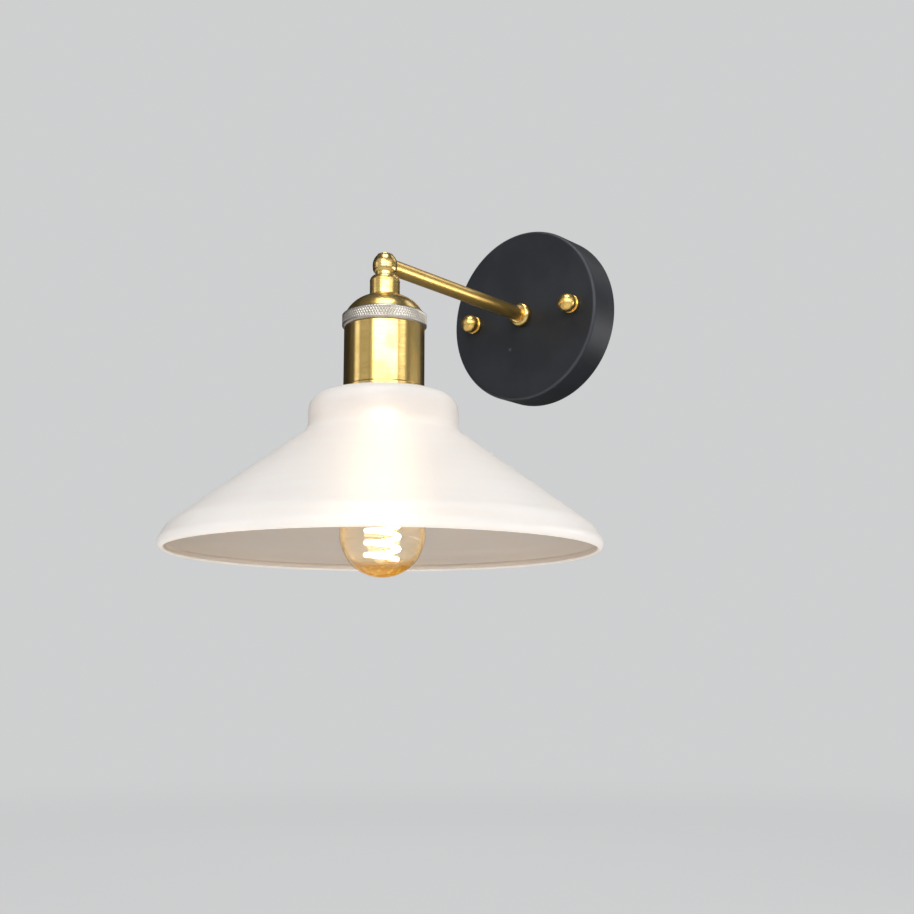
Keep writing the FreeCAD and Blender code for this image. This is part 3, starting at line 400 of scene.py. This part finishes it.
def amberGlass(name, look=amberLook):
    paint = Finish(name)
    place = paint.aboutLamp()
    across = paint.vector("LENGTH", paint.stretched(place, level), out="Value")
    below = 1 - paint.rise(paint.part(place, "Z"), *look["endHeight"])
    end = (1 - paint.rise(across, *look["endReach"])) * below
    edge = paint.node("ShaderNodeLayerWeight", {}, {"Blend": look["edgeWidth"]}, "Facing")
    ripple = paint.streaks(place, look["rippleScale"], look["rippleDetail"])
    # painted glints, only in the round end
    sparkCloud = paint.cloud(place, look["sparkScale"], look["sparkDetail"])
    sparks = paint.rise(sparkCloud, *look["sparkSpan"]) * end
    film = edge * edge * look["filmEdge"] + ripple * look["filmRipple"]
    depth = paint.rise(end * look["endShare"] + edge * look["edgeShare"], *look["tintSpan"])
    # the painted glow: haze in the middle, amber in the end
    paintedHaze = paint.blend(edge, look["paintedHaze"], black)
    glow = paint.blend(end, paintedHaze, look["glow"])
    thickness = look["thin"] + (look["thick"] - look["thin"]) * paint.rise(film + end, 0.0, 1.0)
    skin = paint.surface({
        "Base Color": paint.blend(depth, look["pale"], look["deep"]),
        "Roughness": look["rough"],
        "Alpha": thickness,
        "Emission Color": paint.blend(sparks * look["sparkShare"], glow, look["spark"]),
        "Emission Strength": look["glowPower"],
        "Normal": paint.bump(ripple, look["rippleBump"], look["rippleDepth"]),
    })
    gloss = {"Color": look["shine"], "Roughness": look["shineRough"]}
    shine = paint.node("ShaderNodeBsdfGlossy", {}, gloss)
    mirror = look["shineLeast"] + edge * edge * edge * look["shineEdge"]
    return paint.done(paint.mixed(mirror, skin, shine))


filamentLook = {
    "coat": rgba(1.0, 0.85, 0.55),
    "rough": 0.5,
    "low": rgba(1.0, 0.62, 0.24),
    "high": rgba(1.0, 0.80, 0.48),
    "power": 12.0,
    "chipScale": 900.0,
    "chipDetail": 2.0,
    "chipSpan": (0.3, 0.7),
}


def glowing(name, look=filamentLook):
    paint = Finish(name)
    chips = paint.cloud(paint.aboutLamp(), look["chipScale"], look["chipDetail"])
    heat = paint.blend(paint.rise(chips, *look["chipSpan"]), look["low"], look["high"])
    return paint.done(paint.surface({
        "Base Color": look["coat"],
        "Roughness": look["rough"],
        "Emission Color": heat,
        "Emission Strength": look["power"],
    }))


# The stem stands inside the lit coil, so a painted glow (emission) stands in for the coil's
# light on it.
stemLook = {
    "tint": rgba(0.92, 0.95, 0.93),
    "clear": rgba(1.0, 1.0, 1.0),
    "lit": rgba(1.0, 0.82, 0.50),
    "litLess": 0.3,
    "power": 4.0,
    "rough": 0.08,
    "roughMore": 0.05,
    "through": 0.9,
    "bend": 1.5,
    "flowScale": 300.0,
    "flowDetail": 2.0,
}


def smoothGlass(name, look=stemLook):
    paint = Finish(name)
    flow = paint.cloud(paint.place(), look["flowScale"], look["flowDetail"])
    return paint.done(paint.surface({
        "Base Color": paint.blend(flow, look["tint"], look["clear"]),
        "Roughness": look["rough"] + flow * look["roughMore"],
        "Transmission Weight": look["through"],
        "IOR": look["bend"],
        "Emission Color": paint.blend(flow * look["litLess"], look["lit"], look["tint"]),
        "Emission Strength": look["power"],
    }))


mouldLook = {
    "grainTimes": 4,             # of the finish's own scale
    "cloudShare": 1 / 5,
    "cloudSpan": (0.3, 0.7),
    "roughMore": 0.12,
    "grainBump": 0.15,
    "grainDepth": 0.04 * mm,
}


def moulded(name, light, dark, rough, scale, look=mouldLook):
    paint = Finish(name)
    place = paint.place()
    grain = paint.cloud(place, scale * look["grainTimes"])
    cloud = paint.cloud(place, scale * look["cloudShare"])
    return paint.done(paint.surface({
        "Base Color": paint.blend(paint.rise(cloud, *look["cloudSpan"]), dark, light),
        "Roughness": rough + grain * look["roughMore"],
        "Normal": paint.bump(grain, look["grainBump"], look["grainDepth"]),
    }))


finishes = {
    "satin_brass": brushedBrass("satinBrass", brassLook),
    "arm_brass": brushedBrass("armBrass", armLook),
    "turned_brass": brushedBrass("turnedBrass", turnedLook),
    "polished_brass": polishedBrass("polishedBrass"),
    "black_paint": powderCoat("charcoalPowder"),
    "frosted_glass": frostedGlass("frostedGlass"),
    "amber_glass": amberGlass("amberGlass"),
    "clear_stem": smoothGlass("stemGlass"),
    "glow_filament": glowing("litFilament"),
}
metals = [
    # slot, name, light, dark, roughness, grain scale
    ("knurled_brass", "knurledBrass", (0.60, 0.565, 0.51), (0.42, 0.385, 0.33), 0.24, 900.0),
    ("zinc_plate", "zincPlate", (0.44, 0.45, 0.46), (0.33, 0.34, 0.35), 0.46, 420.0),
    ("contact_brass", "contactBrass", (0.80, 0.60, 0.28), (0.66, 0.45, 0.18), 0.28, 420.0),
    ("bulb_metal", "bulbCapMetal", (0.80, 0.64, 0.34), (0.66, 0.50, 0.24), 0.24, 420.0),
]
mouldings = [
    # slot, name, light, dark, roughness, scale
    ("white_plastic", "terminalPlastic", (0.84, 0.84, 0.81), (0.78, 0.78, 0.75), 0.42, 500.0),
    ("porcelain", "porcelain", (0.90, 0.89, 0.86), (0.84, 0.83, 0.79), 0.14, 220.0),
    ("fibre_washer", "pressedFibre", (0.20, 0.14, 0.09), (0.13, 0.09, 0.05), 0.72, 900.0),
    ("black_vitrite", "vitrite", (0.020, 0.020, 0.026), (0.012, 0.012, 0.016), 0.12, 300.0),
    ("brown_sleeve", "brownSleeve", (0.14, 0.055, 0.025), (0.10, 0.04, 0.018), 0.45, 500.0),
    ("blue_sleeve", "blueSleeve", (0.03, 0.09, 0.38), (0.02, 0.07, 0.30), 0.45, 500.0),
    ("green_sleeve", "greenSleeve", (0.12, 0.32, 0.03), (0.10, 0.26, 0.02), 0.45, 500.0),
]
for slot, name, light, dark, rough, scale in metals:
    finishes[slot] = plainMetal(name, rgba(*light), rgba(*dark), rough, scale)
for slot, name, light, dark, rough, scale in mouldings:
    finishes[slot] = moulded(name, rgba(*light), rgba(*dark), rough, scale)
slotOf = {row["node"]: row["material_slot"] for row in frame["record"]["subparts"]}


def dress(node, finish):
    mesh = frame["nodes"][node].data
    mesh.materials.clear()
    mesh.materials.append(finish)


for nodeName in frame["nodes"]:
    dress(nodeName, finishes[slotOf[nodeName]])
dress("arm_tube", finishes["arm_brass"])
for nodeName in ("ball_connector", "swivel_coupler", "holder_cap"):
    dress(nodeName, finishes["turned_brass"])
print("finishes on every node")


# New pieces: a mesh from rings of points, smooth shaded, riding on its body.
def addPiece(name, points, faces, finish, body):
    mesh = bpy.data.meshes.new(name)
    mesh.from_pydata(points, [], faces)
    mesh.materials.append(finish)
    mesh.validate()
    for face in mesh.polygons:
        face.use_smooth = True
    piece = bpy.data.objects.new(name, mesh)
    bpy.context.scene.collection.objects.link(piece)
    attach(piece, body)
    return piece


# A closed profile of (radius, height) in mm, spun round the lamp's axis.
def spun(name, profile, steps, finish, body, wobble=None):
    points = []
    for step in range(steps):
        angle = 2 * math.pi * step / steps
        for radius, height in profile:
            if wobble:
                radius, height = wobble(radius, height, angle)
            spot = Vector((radius * math.cos(angle), radius * math.sin(angle), height)) * mm
            points.append(spot + lampAxis)
    count = len(profile)
    faces = []
    for step in range(steps):
        here = step * count
        there = (step + 1) % steps * count
        for index in range(count):
            after = (index + 1) % count
            faces.append((here + index, there + index, there + after, here + after))
    return addPiece(name, points, faces, finish, body)


# Knurled ring: two crossing families of ridges cut a diamond pattern.
knurl = {
    "radius": 21.35,
    "depth": 0.42,
    "ridges": 96,
    "rows": 26,
    "columns": 768,
    "top": -26.4,
    "bottom": -33.6,
    "chamfer": 0.9,
    "topRadius": 20.2,
    "bore": 19.25,
    "slant": 13.5,
    "sharpness": 0.8,
    "fadeSlope": 6,
    "fadeLeast": 0.15,
}


def knurledRing():
    rows = knurl["rows"]
    low = knurl["bottom"] + knurl["chamfer"]
    tall = knurl["top"] - knurl["chamfer"] - low
    heights = [low + tall * row / rows for row in range(rows + 1)]
    profile = [(knurl["bore"], knurl["bottom"]), (knurl["topRadius"], knurl["bottom"])]
    profile += [(knurl["radius"], height) for height in heights]
    profile += [(knurl["topRadius"], knurl["top"]), (knurl["bore"], knurl["top"])]

    def ridge(radius, height, angle):
        if radius < knurl["radius"]:
            return radius, height
        climb = (height - low) / tall
        turns = knurl["ridges"] * angle
        slant = climb * knurl["slant"]
        left = abs(math.sin((turns + slant) / 2))
        right = abs(math.sin((turns - slant) / 2))
        fade = min(1.0, knurl["fadeSlope"] * min(climb, 1 - climb) + knurl["fadeLeast"])
        cut = knurl["depth"] * (1 - min(left, right) ** knurl["sharpness"]) * fade
        return radius - cut, height

    ring = spun("clampRingKnurled", profile, knurl["columns"], finishes["knurled_brass"],
                "lamp_head", ridge)
    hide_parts("knurled_ring")


knurledRing()
print("knurled ring made")


# Camera at the photo's viewing angle: seen from the right and from below the arm.
view = {
    "spot": Vector((427.507, -610.125, -210.853)) * mm,
    "right": Vector((0.77829, 0.62790, -0.00023)),
    "up": Vector((0.10858, -0.13422, 0.98498)),
    "lens": 51.203,
    "sensor": 36.0,
    "near": 0.01,
}


def addCamera():
    camera = bpy.data.objects.new("photoCamera", bpy.data.cameras.new("photoCamera"))
    bpy.context.scene.collection.objects.link(camera)
    camera.data.lens = view["lens"]
    camera.data.sensor_width = view["sensor"]
    camera.data.sensor_fit = "HORIZONTAL"
    camera.data.clip_start = view["near"]
    right = view["right"].normalized()
    back = right.cross(view["up"]).normalized()
    up = back.cross(right)
    turn = Matrix((right, up, back)).transposed().to_4x4()
    camera.matrix_world = Matrix.Translation(view["spot"]) @ turn
    bpy.context.scene.camera = camera


addCamera()
print("camera placed")

# Floor and soft light. The pale background is the world's own colour, seen by the eye,
# by metal and through glass, and the lamps stay at a plain level.
studio = {
    "backdrop": rgba(0.62, 0.625, 0.63),
    "ambient": rgba(0.24, 0.245, 0.255),
    "floorHeight": -0.42,
    "floorColour": rgba(0.80, 0.805, 0.81),
    "floorReach": 6.0,
    "floorFade": (0.7, 2.6),
    "floorBlend": 0.82,          # how much of the backdrop the eye sees on the floor
    "floorRough": 0.9,
    "floorGloss": 0.1,
    "speckle": rgba(0.5, 0.5, 0.5),
    "speckleScale": 60.0,
    "speckleShare": 0.05,
}
feltLook = {
    "dark": rgba(0.03, 0.028, 0.026),
    "light": rgba(0.05, 0.047, 0.044),
    "fluffScale": 40.0,
    "rough": 0.95,
}
lamps = [
    # name, place, aim, width, height, watts, colour
    ("keyLamp", (0.60, -0.74, 0.24), (0.0, -0.138, -0.06), 1.15, 0.18, 4.6, (1.0, 0.99, 0.97)),
    ("sideLamp", (0.84, -0.08, 0.22), (0.0, -0.138, -0.06), 0.26, 0.20, 0.30, (1.0, 0.98, 0.94)),
    ("armLamp", (0.50, 0.42, -0.10), (0.0, -0.05, 0.0), 0.50, 0.24, 1.4, (1.0, 0.985, 0.96)),
    ("softLamp", (0.55, -1.25, 0.75), (0.0, -0.138, -0.10), 0.90, 0.60, 4.6, (1.0, 0.99, 0.98)),
    ("fillLamp", (-0.85, -0.95, 0.25), (0.0, -0.138, -0.12), 0.60, 0.40, 1.8, (0.98, 0.98, 1.0)),
    ("topLamp", (0.20, -0.35, 1.15), (0.0, -0.08, -0.05), 0.60, 0.60, 6.0, (1.0, 1.0, 1.0)),
    ("backLamp", (-0.80, 0.90, 0.45), (0.0, -0.138, -0.06), 1.00, 0.80, 3.5, (1.0, 1.0, 1.0)),
    ("rimLamp", (0.26, 0.75, 0.72), (0.0, -0.07, 0.0), 0.45, 0.70, 1.5, (1.0, 0.985, 0.96)),
]
flags = [
    # dark boards round the object, hidden from the eye:
    # name, azimuth, distance, width, low, high, density
    ("leftSlimFlag", -88.0, 0.75, 0.07, -0.25, 0.45, 0.60),
    ("leftNearFlag", -129.0, 0.75, 0.34, -0.25, 0.45, 0.50),
    ("leftFlag", -180.0, 0.80, 1.45, -0.25, 0.90, 1.00),
    ("rightNearFlag", 47.0, 0.75, 0.86, 0.03, 0.45, 0.70),
    ("rightFlag", 112.0, 0.75, 1.10, -0.25, 0.90, 0.95),
]
levelFlags = [
    # level ones over the object and behind it on the floor: name, centre, reach, density
    ("ceilingFlag", (0.0, 0.0, 1.25), (1.3, 1.3), 0.85),
    ("lowFlag", (0.0, 0.60, -0.405), (0.65, 0.52), 0.85),
]
cornerSigns = ((-1, -1), (1, -1), (1, 1), (-1, 1))


def addLamp(name, place, aim, width, height, watts, colour):
    light = bpy.data.lights.new(name, "AREA")
    light.shape = "RECTANGLE"
    light.size = width
    light.size_y = height
    light.energy = watts
    light.color = colour
    lamp = bpy.data.objects.new(name, light)
    lamp.location = place
    lamp.rotation_euler = (Vector(aim) - Vector(place)).to_track_quat("-Z", "Y").to_euler()
    bpy.context.scene.collection.objects.link(lamp)


def addBoard(name, corners, finish):
    mesh = bpy.data.meshes.new(name)
    mesh.from_pydata(corners, [], [(0, 1, 2, 3)])
    mesh.materials.append(finish)
    board = bpy.data.objects.new(name, mesh)
    bpy.context.scene.collection.objects.link(board)
    return board


def addWorld():
    paint = Finish("paleStudio", bpy.data.worlds)
    bpy.context.scene.world = paint.made
    eye = paint.node("ShaderNodeLightPath", out="Is Camera Ray")
    metal = paint.node("ShaderNodeLightPath", out="Is Glossy Ray")
    glass = paint.node("ShaderNodeLightPath", out="Is Transmission Ray")
    summing = {"operation": "ADD", "use_clamp": True}
    seen = paint.node("ShaderNodeMath", summing, {0: eye + metal, 1: glass})
    soft = paint.node("ShaderNodeBackground", {}, {"Color": studio["ambient"]})
    pale = paint.node("ShaderNodeBackground", {}, {"Color": studio["backdrop"]})
    paint.done(paint.mixed(seen, soft, pale), "ShaderNodeOutputWorld")


# The floor is seen from above only, so that a look from below meets the object.
def addFloor():
    paint = Finish("paleFloor")
    place = paint.place()
    far = paint.vector("LENGTH", place, out="Value")
    speckle = paint.cloud(place, studio["speckleScale"]) * studio["speckleShare"]
    matte = paint.surface({
        "Base Color": paint.blend(speckle, studio["floorColour"], studio["speckle"]),
        "Roughness": studio["floorRough"],
        "Specular IOR Level": studio["floorGloss"],
        "Alpha": 1 - paint.rise(far, *studio["floorFade"]),
    })
    glow = paint.node("ShaderNodeEmission", {}, {"Color": studio["backdrop"]})
    seen = paint.node("ShaderNodeLightPath", out="Is Camera Ray")
    top = paint.mixed(seen * studio["floorBlend"], matte, glow)
    under = paint.node("ShaderNodeNewGeometry", out="Backfacing")
    clear = paint.node("ShaderNodeBsdfTransparent")
    finish = paint.done(paint.mixed(under, top, clear))
    reach = studio["floorReach"]
    corners = [(reach * x, reach * y, 0) for x, y in cornerSigns]
    addBoard("studioFloor", corners, finish).location = (0, -lampReach, studio["floorHeight"])


def feltBoard(density, look=feltLook):
    paint = Finish("darkFelt")
    fluff = paint.cloud(paint.place(), look["fluffScale"])
    return paint.done(paint.surface({
        "Base Color": paint.blend(fluff, look["dark"], look["light"]),
        "Roughness": look["rough"],
        "Specular IOR Level": 0.0,
        "Alpha": density,
    }))


# A flag darkens reflections only: it hides from the eye and throws no shadow.
def hideFlag(board):
    board.visible_camera = False
    board.visible_shadow = False
    board.visible_diffuse = False
    board.visible_transmission = False


def addFlags():
    for name, azimuth, distance, width, low, high, density in flags:
        turn = math.radians(azimuth)
        centre = lampAxis + Vector((math.cos(turn), math.sin(turn), 0)) * distance
        along = Vector((-math.sin(turn), math.cos(turn), 0)) * width / 2
        foot = Vector((0, 0, low))
        head = Vector((0, 0, high))
        left = centre - along
        right = centre + along
        corners = [left + foot, right + foot, right + head, left + head]
        hideFlag(addBoard(name, corners, feltBoard(density)))
    for name, centre, reach, density in levelFlags:
        corners = [Vector((centre[0] + reach[0] * x, centre[1] + reach[1] * y, centre[2]))
                   for x, y in cornerSigns]
        hideFlag(addBoard(name, corners, feltBoard(density)))


addWorld()
addFloor()
addFlags()
for lamp in lamps:
    addLamp(*lamp)
bpy.context.scene.view_settings.view_transform = "Standard"
print("studio lit")
